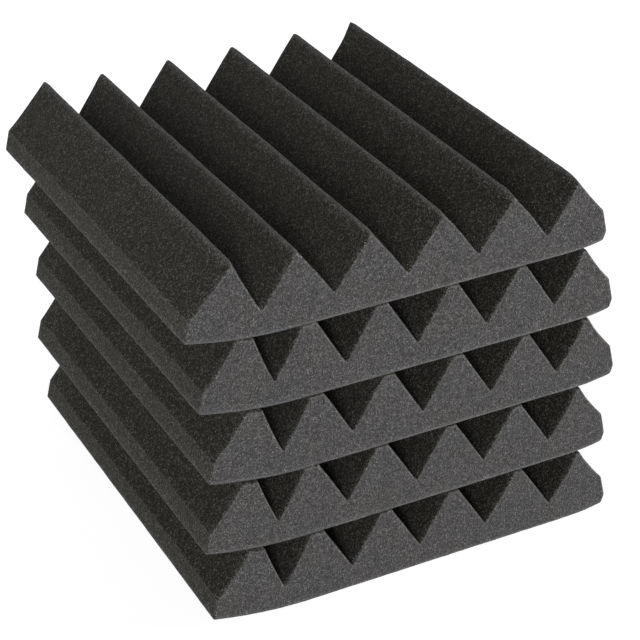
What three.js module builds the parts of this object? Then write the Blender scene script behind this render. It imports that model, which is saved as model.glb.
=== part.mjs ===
import * as THREE from "three";

// A stack of five equal panels of open-cell foam. Each panel is one piece, cut into parallel wedges
// on a flat back, and lies with its back on the crests of the panel below. Millimetres, +Z up:
// X runs across the wedges and Y along them. The origin is on the floor, under the middle of the stack.

// Sizes of one panel
const WEDGE_COUNT = 6;
const WEDGE_PITCH = 50.8;
const PANEL_LENGTH = 304.8; // along the wedges
const PANEL_THICKNESS = 52; // from the flat back to the crests
const BASE_THICKNESS = 17.5; // from the flat back to the valleys
const LEFT_SIDE_HEIGHT = 15; // the upright band where the first slope starts
const RIGHT_TRIM = 3.3; // how far short of its full pitch the last wedge is cut
const CREST_WIDTH = 1.6; // the blunt top of each wedge
const CORNER_CUT_WIDTH = 3.5; // the worn lower corner of the right side
const CORNER_CUT_HEIGHT = 6;

// Both edges of a panel bend up from its flat back, as arcs
const LEFT_BEND_WIDTH = 72;
const LEFT_BEND_RADIUS = 294;
const RIGHT_BEND_WIDTH = 33.5;
const RIGHT_BEND_RADIUS = 154;
const BEND_STEPS = 6;

// The stack. Each panel lies a little out of line, from the bottom one up:
// its shift across and along the wedges as shares of the panel's length, and its turn in degrees.
const STACK_CLEARANCE = 0.3;
const PANEL_NAMES = [
  "wedge_panel_1_bottom",
  "wedge_panel_2",
  "wedge_panel_3",
  "wedge_panel_4",
  "wedge_panel_5_top",
];
const SHIFT_SHARES = [
  [0.0125, 0.0015],
  [0.003, 0.0035],
  [0.014, 0.0035],
  [-0.0005, 0.004],
  [-0.029, 0.0025],
];
const TURNS_DEG = [-0.2, -0.2, 0.1, 0.05, 0.35];

const PANEL_WIDTH = WEDGE_COUNT * WEDGE_PITCH - RIGHT_TRIM;
const LEFT_BEND_START = LEFT_BEND_WIDTH;
const RIGHT_BEND_START = PANEL_WIDTH - RIGHT_BEND_WIDTH;
const SLOPE_WIDTH = (WEDGE_PITCH - CREST_WIDTH) / 2;
const SLOPE_RISE = (PANEL_THICKNESS - BASE_THICKNESS) / SLOPE_WIDTH;
const RIGHT_SIDE_HEIGHT = BASE_THICKNESS + RIGHT_TRIM * SLOPE_RISE;

// How far a panel is turned up at x, as an angle: below zero on the left, above zero on the right.
function bendAngle(x) {
  if (x < LEFT_BEND_START) {
    return (x - LEFT_BEND_START) / LEFT_BEND_RADIUS;
  }
  return Math.max(0, x - RIGHT_BEND_START) / RIGHT_BEND_RADIUS;
}

// Where a point of the flat panel lies once the panel's edges have bent up.
// The back bends as an arc, and what stands on the back stays square to it.
function bent(x, z) {
  const angle = bendAngle(x);
  if (angle === 0) {
    return [x, z];
  }
  const start = angle < 0 ? LEFT_BEND_START : RIGHT_BEND_START;
  const radius = angle < 0 ? LEFT_BEND_RADIUS : RIGHT_BEND_RADIUS;
  return [start + Math.sin(angle) * (radius - z), radius - Math.cos(angle) * (radius - z)];
}

// The most that the edge of a panel lies to one side of the same edge of the next one.
function largestSlip() {
  const slips = [];
  for (let level = 1; level < PANEL_NAMES.length; level += 1) {
    const shift = (SHIFT_SHARES[level][0] - SHIFT_SHARES[level - 1][0]) * PANEL_LENGTH;
    const turn = THREE.MathUtils.degToRad(TURNS_DEG[level] - TURNS_DEG[level - 1]);
    slips.push(Math.abs(shift) + (Math.abs(turn) * PANEL_LENGTH) / 2);
  }
  return Math.max(...slips);
}
const SLIP = largestSlip();

// How much lower a crest is where the panel's edge is turned up:
// a leaning crest rises towards the next panel's back, which presses it flat.
function crestLoss(x) {
  const angle = Math.abs(bendAngle(x));
  return angle * ((angle * PANEL_THICKNESS) / 2 + SLIP);
}

// The panel's section before it bends, anticlockwise from the lower left corner.
function flatOutline() {
  const points = [];
  for (let step = 0; step < BEND_STEPS; step += 1) {
    points.push([(LEFT_BEND_WIDTH * step) / BEND_STEPS, 0]);
  }
  points.push([LEFT_BEND_WIDTH, 0]);
  const cutStart = PANEL_WIDTH - CORNER_CUT_WIDTH;
  for (let step = 0; step <= BEND_STEPS; step += 1) {
    points.push([RIGHT_BEND_START + ((cutStart - RIGHT_BEND_START) * step) / BEND_STEPS, 0]);
  }
  points.push([PANEL_WIDTH, CORNER_CUT_HEIGHT], [PANEL_WIDTH, RIGHT_SIDE_HEIGHT]);
  for (let wedge = WEDGE_COUNT - 1; wedge >= 0; wedge -= 1) {
    const crest = (wedge + 0.5) * WEDGE_PITCH;
    const loss = crestLoss(crest);
    const half = CREST_WIDTH / 2 + loss / SLOPE_RISE;
    const top = PANEL_THICKNESS - loss;
    points.push([crest + half, top], [crest - half, top]);
    if (wedge > 0) {
      points.push([wedge * WEDGE_PITCH, BASE_THICKNESS]);
    }
  }
  points.push([0, LEFT_SIDE_HEIGHT]);
  return points;
}

// One panel, centred on its own width and length, with its flat back at z = 0.
function panelGeometry() {
  const section = new THREE.Shape(flatOutline().map(([x, z]) => new THREE.Vector2(...bent(x, z))));
  const geometry = new THREE.ExtrudeGeometry(section, { depth: PANEL_LENGTH, bevelEnabled: false });
  geometry.rotateX(Math.PI / 2);
  geometry.translate(-PANEL_WIDTH / 2, PANEL_LENGTH / 2, 0);
  return geometry;
}

const foam = new THREE.MeshStandardMaterial({ color: "#3d3c3e", roughness: 1, metalness: 0 });

const stack = new THREE.Group();
PANEL_NAMES.forEach((name, level) => {
  const panel = new THREE.Mesh(panelGeometry(), foam);
  panel.name = name;
  const [shareX, shareY] = SHIFT_SHARES[level];
  const height = level * (PANEL_THICKNESS + STACK_CLEARANCE);
  panel.position.set(shareX * PANEL_LENGTH, shareY * PANEL_LENGTH, height);
  panel.rotation.z = THREE.MathUtils.degToRad(TURNS_DEG[level]);
  stack.add(panel);
});

// The origin goes under the middle of the stack's box.
const box = new THREE.Box3().setFromObject(stack, true);
const middle = box.getCenter(new THREE.Vector3());
stack.position.set(-middle.x, -middle.y, -box.min.z);

export default stack;
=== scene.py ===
import math

import bpy
import numpy as np
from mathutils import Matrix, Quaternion, Vector


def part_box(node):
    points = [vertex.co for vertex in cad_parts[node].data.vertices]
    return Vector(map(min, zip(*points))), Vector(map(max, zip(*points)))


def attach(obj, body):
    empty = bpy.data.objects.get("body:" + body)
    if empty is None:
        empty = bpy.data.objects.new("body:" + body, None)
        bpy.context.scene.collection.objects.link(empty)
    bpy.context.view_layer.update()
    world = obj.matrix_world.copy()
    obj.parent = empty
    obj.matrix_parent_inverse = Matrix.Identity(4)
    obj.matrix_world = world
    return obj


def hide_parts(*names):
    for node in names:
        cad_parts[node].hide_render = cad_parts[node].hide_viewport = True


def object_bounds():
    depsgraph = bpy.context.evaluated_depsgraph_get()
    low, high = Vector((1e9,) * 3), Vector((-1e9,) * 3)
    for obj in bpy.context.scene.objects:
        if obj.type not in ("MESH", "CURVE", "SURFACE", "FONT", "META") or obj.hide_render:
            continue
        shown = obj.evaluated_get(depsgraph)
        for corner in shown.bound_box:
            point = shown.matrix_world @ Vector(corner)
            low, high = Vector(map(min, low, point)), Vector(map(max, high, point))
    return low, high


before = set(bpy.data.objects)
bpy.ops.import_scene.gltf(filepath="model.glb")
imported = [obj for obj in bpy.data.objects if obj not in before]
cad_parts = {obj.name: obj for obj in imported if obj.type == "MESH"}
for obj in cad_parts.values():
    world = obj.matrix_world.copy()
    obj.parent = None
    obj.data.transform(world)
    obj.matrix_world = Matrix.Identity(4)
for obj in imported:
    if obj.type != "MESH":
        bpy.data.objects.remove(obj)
cad_low, cad_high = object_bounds()

# A loose stack of five foam panels. Every panel is one soft block, cut into parallel wedges on a flat
# back. A panel is made flat first, with X across its wedges from the left edge, Y along them from the
# middle and Z up from its back, then its edges are bent up, and it is set where its node lies.
# Sizes are in millimetres until a mesh is made.
MM = 0.001

# Sizes of one panel, as in the solids
WEDGE_COUNT = 6
WEDGE_PITCH = 50.8
PANEL_LENGTH = 304.8  # along the wedges
PANEL_THICKNESS = 52  # from the flat back to the crests
BASE_THICKNESS = 17.5  # from the flat back to the valleys
LEFT_SIDE_HEIGHT = 15
RIGHT_TRIM = 3.3  # how far short of its full pitch the last wedge is cut
CREST_WIDTH = 1.6
CORNER_CUT_WIDTH = 3.5
CORNER_CUT_HEIGHT = 6
LEFT_BEND_WIDTH = 72
LEFT_BEND_RADIUS = 294
RIGHT_BEND_WIDTH = 33.5
RIGHT_BEND_RADIUS = 154
LARGEST_SLIP = 9.5  # about the most that one panel lies to the side of the next

PANEL_WIDTH = WEDGE_COUNT * WEDGE_PITCH - RIGHT_TRIM
RIGHT_BEND_START = PANEL_WIDTH - RIGHT_BEND_WIDTH
SLOPE_RISE = (PANEL_THICKNESS - BASE_THICKNESS) / ((WEDGE_PITCH - CREST_WIDTH) / 2)
RIGHT_SIDE_HEIGHT = BASE_THICKNESS + RIGHT_TRIM * SLOPE_RISE

# The stack from the bottom up: each node, its body and its turn in degrees
PANELS = [
    ("wedge_panel_1_bottom", "bottom_panel", -0.2),
    ("wedge_panel_2", "second_panel", -0.2),
    ("wedge_panel_3", "third_panel", 0.1),
    ("wedge_panel_4", "fourth_panel", 0.05),
    ("wedge_panel_5_top", "top_panel", 0.35),
]

# How far the rounding of each kind of corner reaches along the faces beside it
CREST_ROUNDING = CREST_WIDTH / 2
LOADED_ROUNDING = 0.7  # of a crest that carries a panel
VALLEY_ROUNDING = 1.0
BACK_ROUNDING = 1.4  # the lower left corner
SIDE_ROUNDING = 0.6  # the upper left corner
RIGHT_ROUNDING = 1.5  # the corners of the right side
END_ROUNDING = 1.3  # the edge all round an end

# The mesh: how many faces a panel has each way, and how they crowd towards its edges
COLUMNS = 236  # across the wedges
ROWS = 18  # up the sides and ends
SLICES = 156  # along the wedges
BEVEL_STEPS = 4  # over the rounded edge of an end
ARC_STEPS = 8  # round a corner of the section
FINE_GAP = 0.5  # at an edge
COARSE_GAP = 3.0  # at the reach of the crowding and beyond
CROWDING_REACH = 12
MEASURING_STEPS = 4000  # how finely a stretch is measured before its faces are laid out

# Soft shape: what handling and weight have done to the cut foam, with wedges listed from the left
FRONT_TIP_DROPS = [1.4, 1.4, 1.6, 2.4, 2.8, 3.0]  # how far each wedge's tip is worn down
FRONT_TIP_REACHES = [8, 9, 9, 14, 15, 13]  # how far along the wedge the worn tip goes
BACK_TIP_DROPS = [0.8, 0.7, 0.7, 0.8, 0.8, 1.0]
BACK_TIP_REACHES = [7, 7, 7, 8, 8, 9]
TIP_VARIATION_SHARE = 0.25  # how much more or less than that a tip may be worn down
LOADED_SPREADS = [4.5, 4.5, 3.5, 3.0, 2.2, 1.2]  # how much wider a panel's weight makes each side of a crest
SOFT_START_SHARE = 0.35  # wedges give way above this share of their height
CREST_SWAY = 0.2
CREST_SAG = 0.2
CREST_WAVELENGTH = 90
UNEVENNESS = 0.07
UNEVEN_WAVELENGTH = 16
WAVES = 24  # how many waves add up to an uneven line or face
WAVELENGTH_SHARES = (0.7, 1.5)  # the shortest and the longest of them, as shares of their usual length
GRAIN = 0.035
RIM_GRAIN = 0.05

# How pale the foam's edges are painted, a painted highlight where the fuzzy cut edges catch light, and how
# far that reaches from each of them
CREST_RIM = (1.0, 1.9)
LOADED_CREST_RIM = (0.6, 1.9)
# the lower left edge turns down into shade, and its painted highlight lightens it
BACK_RIM = (1.0, 1.7)
SIDE_RIM = (0.12, 1.2)
NO_RIM = (0.0, 1.0)
# painted highlight on the blunt top of a wedge that carries nothing, near its ends
TIP_RIM = (1.0, 9)  # along a wedge's blunt top, from its end
END_RIM = (0.6, 1.7)
# painted highlight along the foot of each end, whose rounded lower edge turns down into shade
END_FOOT_RIM = (1.0, 0.8)
# the sides and the back are painted between the slopes' painted shade and the ends' lighter colour
SIDE_PALENESS = 0.5  # of the sides and the back, where the slopes have 0 and the ends 1


def bend_angle(x):
    """How far a panel is turned up at x: below zero on the left, above zero on the right."""
    left = np.minimum(x - LEFT_BEND_WIDTH, 0) / LEFT_BEND_RADIUS
    right = np.maximum(x - RIGHT_BEND_START, 0) / RIGHT_BEND_RADIUS
    return left + right


def bent(points):
    """The points of a flat panel after its edges have bent up as arcs."""
    angle = bend_angle(points[:, 0])
    start = np.where(angle < 0, LEFT_BEND_WIDTH, RIGHT_BEND_START)
    radius = np.where(angle < 0, LEFT_BEND_RADIUS, RIGHT_BEND_RADIUS)
    turned = angle != 0
    lever = radius - points[:, 2]
    x = np.where(turned, start + np.sin(angle) * lever, points[:, 0])
    z = np.where(turned, radius - np.cos(angle) * lever, points[:, 2])
    return np.stack([x, points[:, 1], z], 1)


def crest_loss(x):
    """How much lower a crest is on a bent edge, where the next panel presses it flat."""
    angle = abs(float(bend_angle(x)))
    return angle * (angle * PANEL_THICKNESS / 2 + LARGEST_SLIP)


def section_corners(loaded):
    """The flat section's corners, each with its rounding and its rim, anticlockwise from the lower left."""
    corners = [
        ((0, 0), BACK_ROUNDING, BACK_RIM),
        ((PANEL_WIDTH - CORNER_CUT_WIDTH, 0), RIGHT_ROUNDING, SIDE_RIM),
        ((PANEL_WIDTH, CORNER_CUT_HEIGHT), RIGHT_ROUNDING, SIDE_RIM),
        ((PANEL_WIDTH, RIGHT_SIDE_HEIGHT), RIGHT_ROUNDING, SIDE_RIM),
    ]
    for wedge in reversed(range(WEDGE_COUNT)):
        crest = (wedge + 0.5) * WEDGE_PITCH
        half = CREST_WIDTH / 2
        top = PANEL_THICKNESS
        if loaded:
            loss = crest_loss(crest)
            half = half + loss / SLOPE_RISE + LOADED_SPREADS[wedge]
            top = top - loss
        rounding = LOADED_ROUNDING if loaded else CREST_ROUNDING
        rim = LOADED_CREST_RIM if loaded else CREST_RIM
        corners.append(((crest + half, top), rounding, rim))
        corners.append(((crest - half, top), rounding, rim))
        if wedge > 0:
            corners.append(((wedge * WEDGE_PITCH, BASE_THICKNESS), VALLEY_ROUNDING, NO_RIM))
    corners.append(((0, LEFT_SIDE_HEIGHT), SIDE_ROUNDING, SIDE_RIM))
    return [(np.array(place, float), rounding, rim) for place, rounding, rim in corners]


def towards(start, end, length):
    """The point that lies the given length from start, on the way to end."""
    step = end - start
    return start + step * (length / np.linalg.norm(step))


def faded(rim, apart):
    """How pale the foam is still painted this far from an edge with that rim, a painted highlight over fuzzy
    cut foam.
    """
    strength, reach = rim
    return strength * np.exp(-apart / reach)


class Outline:
    """The section's closed outline with rounded corners, measured by the length along it."""

    def __init__(self, corners):
        points, middles = [], []
        for index, (corner, rounding, _) in enumerate(corners):
            before = towards(corner, corners[index - 1][0], rounding)
            after = towards(corner, corners[(index + 1) % len(corners)][0], rounding)
            middles.append(len(points) + ARC_STEPS // 2)
            for share in np.linspace(0, 1, ARC_STEPS + 1):
                start = before + (corner - before) * share
                end = corner + (after - corner) * share
                points.append(start + (end - start) * share)
        points.append(points[0])
        self.points = np.array(points)
        steps = np.linalg.norm(np.diff(self.points, axis=0), axis=1)
        self.lengths = np.concatenate([[0], np.cumsum(steps)])
        self.total = self.lengths[-1]
        self.corners = self.lengths[middles]
        self.rims = [rim for _, _, rim in corners]

    def at(self, lengths):
        """The points at these lengths along the outline."""
        lengths = np.mod(lengths, self.total)
        return np.stack([np.interp(lengths, self.lengths, self.points[:, axis]) for axis in (0, 1)], 1)

    def outward(self, lengths):
        """The outward directions at these lengths."""
        along = self.at(lengths + FINE_GAP / 2) - self.at(lengths - FINE_GAP / 2)
        along /= np.linalg.norm(along, axis=1)[:, None]
        return np.stack([along[:, 1], -along[:, 0]], 1)

    def rim(self, lengths):
        """How pale the foam is painted at these lengths, from the nearest edges: a painted highlight where
        fuzzy cut edges catch light.
        """
        torn = np.zeros(len(lengths))
        for corner, rim in zip(self.corners, self.rims):
            apart = np.abs(lengths - corner)
            apart = np.minimum(apart, self.total - apart)
            torn = np.maximum(torn, faded(rim, apart))
        return torn

    def on_free_crest(self, lengths):
        """Whether each length lies on a wedge's blunt top that carries nothing, between its corners."""
        found = np.zeros(len(lengths), bool)
        pairs = zip(self.corners, self.corners[1:], self.rims, self.rims[1:])
        for start, end, rim, next_rim in pairs:
            if rim == next_rim == CREST_RIM:
                found |= (lengths > start) & (lengths < end)
        return found


def crowded(start, end, corners, count):
    """Places from start to end, count steps in all, close together at the corners."""
    places = np.linspace(start, end, MEASURING_STEPS)
    nearest = np.abs(places[:, None] - np.array(corners)[None, :]).min(1)
    gap = FINE_GAP + (COARSE_GAP - FINE_GAP) * np.minimum(nearest / CROWDING_REACH, 1)
    done = np.concatenate([[0], np.cumsum(np.diff(places) / gap[1:])])
    return np.interp(np.linspace(0, done[-1], count + 1), done, places)


def ring_places(outline):
    """The lengths along the outline of each vertex round one slice, anticlockwise from the lower left."""
    lower_left, _, lower_right, *top_corners = outline.corners
    upper_right, upper_left = top_corners[0], top_corners[-1]
    top = crowded(upper_right, upper_left, top_corners, COLUMNS)
    closing = outline.total + lower_left
    left = crowded(upper_left, closing, [upper_left, closing], ROWS)
    right = crowded(lower_right, upper_right, [lower_right, upper_right], ROWS)
    # a column keeps its place across the panel from the top down to the back
    across = outline.at(top)[::-1, 0]
    share = (across - across[0]) / (across[-1] - across[0])
    back = np.linspace(lower_left, lower_right, MEASURING_STEPS)
    back_across = outline.at(back)[:, 0]
    bottom = np.interp(back_across[0] + share * (back_across[-1] - back_across[0]), back_across, back)
    return np.concatenate([bottom[:-1], right[:-1], top[:-1], left[:-1]])


def slices():
    """Each slice's place along the panel, and how far its outline is drawn in by the rounded end."""
    turn = np.linspace(0, math.pi / 2, BEVEL_STEPS + 1)
    depth = END_ROUNDING * (1 - np.cos(turn))
    drawn_in = END_ROUNDING * (1 - np.sin(turn))
    half = PANEL_LENGTH / 2
    ends = [END_ROUNDING - half, half - END_ROUNDING]
    middle = crowded(*ends, ends, SLICES)[1:-1]
    places = np.concatenate([depth - half, middle, half - depth[::-1]])
    return places, np.concatenate([drawn_in, np.zeros(len(middle)), drawn_in[::-1]])


def patch(bottom, right, top, left):
    """Points inside a four-sided outline, one column at a time, blended from its sides."""
    across = np.linspace(0, 1, len(bottom))[1:-1, None, None]
    up = ((left[:, 1] - left[0, 1]) / (left[-1, 1] - left[0, 1]))[None, 1:-1, None]
    sides = (1 - across) * left[None, 1:-1] + across * right[None, 1:-1]
    ends = (1 - up) * bottom[1:-1, None] + up * top[1:-1, None]
    corners = (1 - across) * ((1 - up) * bottom[0] + up * top[0])
    corners = corners + across * ((1 - up) * bottom[-1] + up * top[-1])
    return (sides + ends - corners).reshape(-1, 2)


def panel_faces(ring_count, slice_count):
    """The four-sided faces of one panel: its long surface, then its two ends."""
    ring = np.arange(ring_count)
    following = np.roll(ring, -1)
    faces = []
    for step in range(slice_count - 1):
        here, there = step * ring_count, (step + 1) * ring_count
        faces.append(np.stack([here + ring, here + following, there + following, there + ring], 1)[:, ::-1])
    inner = (COLUMNS - 1) * (ROWS - 1)
    for end, first in enumerate((0, (slice_count - 1) * ring_count)):
        grid = np.zeros((COLUMNS + 1, ROWS + 1), int)
        grid[:, 0] = first + np.arange(COLUMNS + 1)
        grid[-1, :] = first + COLUMNS + np.arange(ROWS + 1)
        grid[::-1, -1] = first + COLUMNS + ROWS + np.arange(COLUMNS + 1)
        grid[0, 1:][::-1] = first + 2 * COLUMNS + ROWS + np.arange(ROWS)
        start = slice_count * ring_count + end * inner
        grid[1:-1, 1:-1] = start + np.arange(inner).reshape(COLUMNS - 1, ROWS - 1)
        quads = np.stack([grid[:-1, :-1], grid[1:, :-1], grid[1:, 1:], grid[:-1, 1:]], -1).reshape(-1, 4)
        faces.append(quads if end == 0 else quads[:, ::-1])
    return np.concatenate(faces)


def end_inside(ring):
    """The points inside an end's ring of vertices."""
    bottom = ring[: COLUMNS + 1]
    right = ring[COLUMNS : COLUMNS + ROWS + 1]
    top = ring[COLUMNS + ROWS : 2 * COLUMNS + ROWS + 1][::-1]
    left = np.concatenate([ring[2 * COLUMNS + ROWS :], ring[:1]])[::-1]
    return patch(bottom, right, top, left)


def set_along(section, place):
    """The points of a flat section, set at a place along the panel."""
    return np.stack([section[:, 0], np.full(len(section), place), section[:, 1]], 1)


def flat_panel(loaded):
    """One flat panel: its vertices and faces, and at each vertex its edges' painted highlight and how pale
    it is painted, with the slopes and sides painted darker as shade.
    """
    outline = Outline(section_corners(loaded))
    places = ring_places(outline)
    on_ring, outward = outline.at(places), outline.outward(places)
    along, drawn_in = slices()
    vertices, rims, pales = [], [], []
    ring_rim = outline.rim(places)
    # round a slice the back comes first, then the right side, the wedges and the left side
    index = np.arange(len(places))
    under = index <= COLUMNS
    on_slope = (index > COLUMNS + ROWS) & (index < 2 * COLUMNS + ROWS)
    # the slopes take the darkest colour as painted shade, the sides a colour between, and the edges add
    # painted highlight
    ring_pale = np.where(on_slope, 0, np.maximum(ring_rim, SIDE_PALENESS))
    crest = outline.on_free_crest(places)
    for place, inset in zip(along, drawn_in):
        vertices.append(set_along(on_ring - outward * inset, place))
        from_end = PANEL_LENGTH / 2 - abs(place)
        end_rim = np.maximum(crest * faded(TIP_RIM, from_end), faded(END_RIM, from_end))
        # painted highlight also on the rounded lower edge of each end, which faces down into shade
        rims.append(np.max([ring_rim, end_rim, under * (inset > 0)], axis=0))
        pales.append(np.maximum(ring_pale, inset / END_ROUNDING))
    inside = end_inside(on_ring - outward * END_ROUNDING)
    for place in (along[0], along[-1]):
        vertices.append(set_along(inside, place))
        # painted highlight along the foot of each end
        rims.append(faded(END_FOOT_RIM, inside[:, 1] - END_ROUNDING))
        pales.append(np.ones(len(inside)))
    faces = panel_faces(len(places), len(along))
    return np.concatenate(vertices), faces, np.concatenate(rims), np.concatenate(pales)


def ripples(points, wavelength, chance):
    """A smooth random field at the points, mostly between -1 and 1, with waves of about that length."""
    field = np.zeros(len(points))
    for _ in range(WAVES):
        way = chance.normal(size=3)
        way *= 2 * math.pi / (np.linalg.norm(way) * wavelength * chance.uniform(*WAVELENGTH_SHARES))
        field += np.sin(points @ way + chance.uniform(0, 2 * math.pi))
    return field / math.sqrt(WAVES)


def softened(points, loaded, chance):
    """The wedges after handling: crests sway and sag a little, and tips that carry nothing are worn."""
    wedge = np.clip(points[:, 0] // WEDGE_PITCH, 0, WEDGE_COUNT - 1).astype(int)
    share = np.clip((points[:, 2] - BASE_THICKNESS) / (PANEL_THICKNESS - BASE_THICKNESS), 0, 1)
    give = np.clip((share - SOFT_START_SHARE) / (1 - SOFT_START_SHARE), 0, 1) ** 2
    wear = 0 if loaded else 1
    moved = points.copy()
    front = (FRONT_TIP_DROPS, FRONT_TIP_REACHES, -1)
    back = (BACK_TIP_DROPS, BACK_TIP_REACHES, 1)
    for drops, reaches, side in (front, back):
        drop = wear * np.array(drops) * (1 + TIP_VARIATION_SHARE * chance.uniform(-1, 1, WEDGE_COUNT))
        from_end = PANEL_LENGTH / 2 - side * points[:, 1]
        nearness = np.clip(1 - from_end / np.array(reaches)[wedge], 0, 1)
        moved[:, 2] -= drop[wedge] * give * nearness**2
    line = np.stack([wedge * PANEL_LENGTH, points[:, 1], np.zeros(len(points))], 1)
    moved[:, 0] += CREST_SWAY * give * ripples(line, CREST_WAVELENGTH, chance)
    moved[:, 2] -= CREST_SAG * give * (1 + ripples(line, CREST_WAVELENGTH, chance)) / 2
    return moved


def roughened(mesh, points, rim, chance):
    """Foam isn't flat: its faces wander a little, and its edges are ragged. Nothing moves outward."""
    normals = np.empty(3 * len(points), np.float32)
    mesh.vertices.foreach_get("normal", normals)
    wander = UNEVENNESS * np.clip(1 + ripples(points, UNEVEN_WAVELENGTH, chance), 0, 2)
    grain = (GRAIN + (RIM_GRAIN - GRAIN) * rim) * np.abs(chance.normal(size=len(points)))
    return points - normals.reshape(-1, 3) * (wander + grain)[:, None]


def new_object(name, data):
    """A new object in the scene, with its mesh, lamp or camera."""
    made = bpy.data.objects.new(name, data)
    bpy.context.scene.collection.objects.link(made)
    return made


def foam_panel(node, turn, level, loaded):
    """One panel as a mesh in the place of its node."""
    flat, faces, rim, pale = flat_panel(loaded)
    chance = np.random.default_rng(level)
    points = bent(softened(flat, loaded, chance))
    low, high = bent(flat).min(0), bent(flat).max(0)
    mesh = bpy.data.meshes.new(node + "_foam")
    mesh.from_pydata(points.tolist(), [], faces.tolist())
    points = roughened(mesh, points, rim, chance)
    points[:, 0] -= (low[0] + high[0]) / 2
    angle = math.radians(turn)
    node_low, node_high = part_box(node)
    middle = (node_low + node_high) / 2
    x = points[:, 0] * math.cos(angle) - points[:, 1] * math.sin(angle)
    y = points[:, 0] * math.sin(angle) + points[:, 1] * math.cos(angle)
    placed = np.stack([x * MM + middle.x, y * MM + middle.y, points[:, 2] * MM + node_low.z], 1)
    mesh.vertices.foreach_set("co", placed.astype(np.float32).ravel())
    for name, values in (("rim", rim), ("pale", pale)):
        mesh.attributes.new(name, "FLOAT", "POINT").data.foreach_set("value", values.astype(np.float32))
    mesh.shade_smooth()
    mesh.update()
    return new_object(node + "_foam", mesh)


def empty_tree(owner):
    """The node tree of a material or a world, with nothing in it yet."""
    owner.use_nodes = True
    owner.node_tree.nodes.clear()
    return owner.node_tree


def node_in(tree, kind, inputs, **settings):
    """A new node with its settings. Each input is linked to a socket or given a value."""
    made = tree.nodes.new(kind)
    for name, value in settings.items():
        setattr(made, name, value)
    for name, value in inputs.items():
        if isinstance(value, bpy.types.NodeSocket):
            tree.links.new(value, made.inputs[name])
        else:
            made.inputs[name].default_value = value
    return made


def sum_of(tree, first, second):
    return node_in(tree, "ShaderNodeMath", {0: first, 1: second}, operation="ADD").outputs[0]


def product_of(tree, first, second):
    return node_in(tree, "ShaderNodeMath", {0: first, 1: second}, operation="MULTIPLY").outputs[0]


def range_of(tree, value, low, high, from_low=0, from_high=1):
    """A value from its own range to the range from low to high."""
    ends = {"From Min": from_low, "From Max": from_high, "To Min": low, "To Max": high}
    return node_in(tree, "ShaderNodeMapRange", {"Value": value, **ends}).outputs[0]


MEAN_SQUARE = 1 / 3  # of an even random value


def few_bright(tree, random, contrast):
    """A factor round 1 from an even random value, with many dark places and few bright ones."""
    square = product_of(tree, random, random)
    apart = range_of(tree, square, -MEAN_SQUARE, 1 - MEAN_SQUARE)
    return sum_of(tree, product_of(tree, apart, contrast), 1)


MIX_SHARE, MIX_FIRST, MIX_SECOND, MIX_RESULT = 0, 6, 7, 2  # the colour mix node's own sockets


def blend_of(tree, share, first, second):
    """A colour between two others."""
    inputs = {MIX_SHARE: share, MIX_FIRST: first, MIX_SECOND: second}
    return node_in(tree, "ShaderNodeMix", inputs, data_type="RGBA").outputs[MIX_RESULT]


# Foam: its colours, among them painted shade and painted highlight, and the sizes of its cells in metres
# the slopes and sides are painted darker and warmer than the ends: painted shade for faces turned from the
# lamps, with some of the difference from the cut of each face
SHADED_SLOPE_COLOUR = (0.0307, 0.0258, 0.0122, 1)
SHADED_SIDE_COLOUR = (0.0553, 0.0497, 0.0337, 1)
END_COLOUR = (0.0852, 0.0813, 0.0803, 1)
# painted highlight on the edges of the slopes and of the ends, where the fuzzy cut foam catches light
CREST_HIGHLIGHT_COLOUR = (0.1380, 0.1337, 0.1240, 1)
END_RIM_HIGHLIGHT_COLOUR = (0.1620, 0.1570, 0.1590, 1)
DARK_SATURATION = 1.3  # of the dark cells, which keep more of the foam's colour than the bright ones
BRIGHT_SATURATION = 0.3
BRIGHT_TONE = 3  # how many times as bright as the foam's own colour a cell with that saturation is
WARM_TINT = (1.04, 0.995, 0.975, 1)  # the foam's hue drifts from this
COOL_TINT = (0.97, 1.0, 1.035, 1)  # to this
MOTTLE_SIZE = 0.025
MOTTLE_DETAIL = 2
MOTTLE_LEVELS = (0.3, 0.7)  # of the noise, where the foam is wholly warm and wholly cool
CELL_SIZE = 0.00095
SMALL_CELL_SIZE = 0.00057
SLOPE_CONTRAST = 3.0  # of the cells on the slopes
END_CONTRAST = 1.02
RIM_CONTRAST_SHARE = 0.15  # how much of that is left at the torn edges
# painted glints: bright points in the colour that stand for light caught by the cell struts
GLINT_START_SHARE = 0.96  # of the small cells have no bright point
GLINT_GAIN = 2.4  # what the brightest point adds to its tone
FOAM_ROUGHNESS = 0.95
FOAM_SPECULAR = 0.05
FOAM_SHEEN = 0.12
FOAM_SHEEN_ROUGHNESS = 0.6
PORE_DEPTH = 0.0005
PORE_STRENGTH = 0.7


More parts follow.
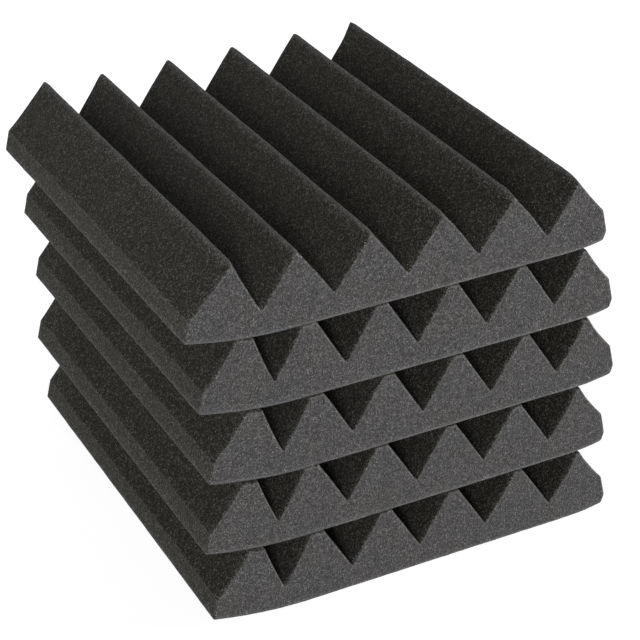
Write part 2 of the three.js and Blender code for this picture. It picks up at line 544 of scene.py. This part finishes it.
def foam_material():
    """Charcoal open-cell foam: cells of uneven brightness with painted glints, pores between them, ragged
    edges with painted highlight, and slopes and sides painted darker than the ends as shade.
    """
    material = bpy.data.materials.new("charcoal_foam")
    tree = empty_tree(material)
    place = node_in(tree, "ShaderNodeTexCoord", {}).outputs["Object"]
    rim = node_in(tree, "ShaderNodeAttribute", {}, attribute_name="rim").outputs["Fac"]
    pale = node_in(tree, "ShaderNodeAttribute", {}, attribute_name="pale").outputs["Fac"]

    cells = node_in(tree, "ShaderNodeTexVoronoi", {"Vector": place, "Scale": 1 / CELL_SIZE})
    small_cells = node_in(tree, "ShaderNodeTexVoronoi", {"Vector": place, "Scale": 1 / SMALL_CELL_SIZE})
    cell_random = node_in(tree, "ShaderNodeSeparateColor", {0: cells.outputs["Color"]})
    small_random = node_in(tree, "ShaderNodeSeparateColor", {0: small_cells.outputs["Color"]})
    contrast = range_of(tree, pale, SLOPE_CONTRAST, END_CONTRAST)
    contrast = product_of(tree, contrast, range_of(tree, rim, 1, RIM_CONTRAST_SHARE))
    tone = few_bright(tree, cell_random.outputs[0], contrast)
    small_tone = few_bright(tree, small_random.outputs[0], contrast)
    # painted glints on a few small cells
    glint = range_of(tree, small_random.outputs[1], 0, GLINT_GAIN, GLINT_START_SHARE, 1)
    tone = sum_of(tree, product_of(tree, tone, small_tone), glint)

    drift = {"Vector": place, "Scale": 1 / MOTTLE_SIZE, "Detail": MOTTLE_DETAIL}
    mottle = node_in(tree, "ShaderNodeTexNoise", drift).outputs[0]
    tint = blend_of(tree, range_of(tree, mottle, 0, 1, *MOTTLE_LEVELS), WARM_TINT, COOL_TINT)
    # painted shade: the slopes are painted darkest, the sides between and the ends lightest
    colour = blend_of(tree, range_of(tree, pale, 0, 1, 0, SIDE_PALENESS), SHADED_SLOPE_COLOUR, SHADED_SIDE_COLOUR)
    colour = blend_of(tree, range_of(tree, pale, 0, 1, SIDE_PALENESS, 1), colour, END_COLOUR)
    # painted highlight along the edges
    colour = blend_of(tree, rim, colour, blend_of(tree, pale, CREST_HIGHLIGHT_COLOUR, END_RIM_HIGHLIGHT_COLOUR))
    tinted = {0: colour, 1: tint}
    colour = node_in(tree, "ShaderNodeVectorMath", tinted, operation="MULTIPLY").outputs[0]
    saturation = range_of(tree, tone, DARK_SATURATION, BRIGHT_SATURATION, 0, BRIGHT_TONE)
    toned = {"Color": colour, "Value": tone, "Saturation": saturation}
    colour = node_in(tree, "ShaderNodeHueSaturation", toned).outputs[0]

    height = sum_of(tree, cells.outputs["Distance"], small_cells.outputs["Distance"])
    bump = {"Height": height, "Distance": PORE_DEPTH, "Strength": PORE_STRENGTH}
    normal = node_in(tree, "ShaderNodeBump", bump).outputs[0]
    finish = {
        "Base Color": colour,
        "Normal": normal,
        "Roughness": FOAM_ROUGHNESS,
        "Specular IOR Level": FOAM_SPECULAR,
        "Sheen Weight": FOAM_SHEEN,
        "Sheen Roughness": FOAM_SHEEN_ROUGHNESS,
    }
    surface = node_in(tree, "ShaderNodeBsdfPrincipled", finish).outputs[0]
    node_in(tree, "ShaderNodeOutputMaterial", {"Surface": surface})
    return material


# The floor, in metres: how pale it is, and the share of plain white in what the camera sees of it
FLOOR_SIZE = 24
FLOOR_DROP = 0.0003
FLOOR_COLOUR = (0.8, 0.8, 0.8, 1)
FLOOR_WHITE_STRENGTH = 1.24
NEAR_WHITE_SHARE = 0.75  # as far out as NEAR_FLOOR, from where it grows to the whole at FAR_FLOOR
NEAR_FLOOR = 0.3
FAR_FLOOR = 1.0


def larger_of(tree, first, second):
    return node_in(tree, "ShaderNodeMath", {0: first, 1: second}, operation="MAXIMUM").outputs[0]


def seen_plainly(tree):
    """1 for what the camera sees, itself or by way of a glossy or a clear surface, and 0 for the rest."""
    path = node_in(tree, "ShaderNodeLightPath", {}).outputs
    direct_or_glossy = larger_of(tree, path["Is Camera Ray"], path["Is Glossy Ray"])
    return larger_of(tree, direct_or_glossy, path["Is Transmission Ray"])


def add_floor():
    """A wide pale floor that shows white and keeps the shadow."""
    mesh = bpy.data.meshes.new("floor")
    half = FLOOR_SIZE / 2
    corners = [(-half, -half), (half, -half), (half, half), (-half, half)]
    mesh.from_pydata([(x, y, -FLOOR_DROP) for x, y in corners], [], [(0, 1, 2, 3)])
    material = bpy.data.materials.new("pale_floor")
    tree = empty_tree(material)
    matt = node_in(tree, "ShaderNodeBsdfDiffuse", {"Color": FLOOR_COLOUR}).outputs[0]
    white = node_in(tree, "ShaderNodeEmission", {"Strength": FLOOR_WHITE_STRENGTH}).outputs[0]
    place = node_in(tree, "ShaderNodeTexCoord", {}).outputs["Object"]
    apart = node_in(tree, "ShaderNodeVectorMath", {0: place}, operation="LENGTH").outputs["Value"]
    share = range_of(tree, apart, NEAR_WHITE_SHARE, 1, NEAR_FLOOR, FAR_FLOOR)
    share = product_of(tree, seen_plainly(tree), share)
    mixed = node_in(tree, "ShaderNodeMixShader", {0: share, 1: matt, 2: white}).outputs[0]
    node_in(tree, "ShaderNodeOutputMaterial", {"Surface": mixed})
    mesh.materials.append(material)
    floor = new_object("floor", mesh)


# Light: the world's, and each softbox's name, its angles round the stack and up in degrees, and its power
WORLD_COLOUR = (1, 1, 1, 1)
WORLD_LEVEL = 0.1
SOFTBOX_SIZE = 0.88  # metres, as is the distance
SOFTBOX_DISTANCE = 3.0
SOFTBOXES = [
    ("front_left_softbox", -26, 18, 37.5),
    ("front_right_softbox", 65, 6, 61.0),
    ("left_softbox", -90, 6, 8.0),
    ("right_softbox", 90, 6, 11.0),
    ("back_softbox", 180, 35, 15.5),
]


def way_out(azimuth, elevation):
    """The direction out from the stack at these angles in degrees. Azimuth 0 is towards the front."""
    azimuth, elevation = math.radians(azimuth), math.radians(elevation)
    level = math.cos(elevation)
    return Vector((math.sin(azimuth) * level, -math.cos(azimuth) * level, math.sin(elevation)))


def add_light(middle):
    """Soft lamps round the stack and an even pale world."""
    for name, azimuth, elevation, power in SOFTBOXES:
        lamp = bpy.data.lights.new(name, "AREA")
        lamp.shape = "SQUARE"
        lamp.size = SOFTBOX_SIZE
        lamp.energy = power
        holder = new_object(name, lamp)
        way = way_out(azimuth, elevation)
        holder.location = middle + way * SOFTBOX_DISTANCE
        holder.rotation_mode = "QUATERNION"
        holder.rotation_quaternion = (-way).to_track_quat("-Z", "Y")
        holder.visible_camera = False
    world = bpy.data.worlds.new("studio")
    bpy.context.scene.world = world
    tree = empty_tree(world)
    level = range_of(tree, seen_plainly(tree), WORLD_LEVEL, 1)
    air = node_in(tree, "ShaderNodeBackground", {"Color": WORLD_COLOUR, "Strength": level}).outputs[0]
    node_in(tree, "ShaderNodeOutputWorld", {"Surface": air})


# The camera, at the photograph's angle, in degrees and millimetres
CAMERA_AZIMUTH = -26.8
CAMERA_ELEVATION = 30.1
CAMERA_ROLL = 0.75
CAMERA_DISTANCE = 1434
CAMERA_TARGET = (6.6, -11.6, 118.6)
LENS = 116.0
SENSOR = 36


def add_camera():
    """The camera on its long lens."""
    back = way_out(CAMERA_AZIMUTH, CAMERA_ELEVATION)
    data = bpy.data.cameras.new("camera")
    data.lens = LENS
    data.sensor_width = SENSOR
    camera = new_object("camera", data)
    camera.location = (Vector(CAMERA_TARGET) + back * CAMERA_DISTANCE) * MM
    camera.rotation_mode = "QUATERNION"
    roll = Quaternion((0, 0, 1), -math.radians(CAMERA_ROLL))
    camera.rotation_quaternion = (-back).to_track_quat("-Z", "Y") @ roll
    bpy.context.scene.camera = camera


def add_panels():
    """The five panels, each riding on its body in the place of its node."""
    foam = foam_material()
    for level, (node, body, turn) in enumerate(PANELS):
        panel = foam_panel(node, turn, level, level < len(PANELS) - 1)
        panel.data.materials.append(foam)
        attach(panel, body)
        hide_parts(node)


add_camera()
add_floor()
add_light((cad_low + cad_high) / 2)
add_panels()
bpy.context.scene.view_settings.view_transform = "Standard"
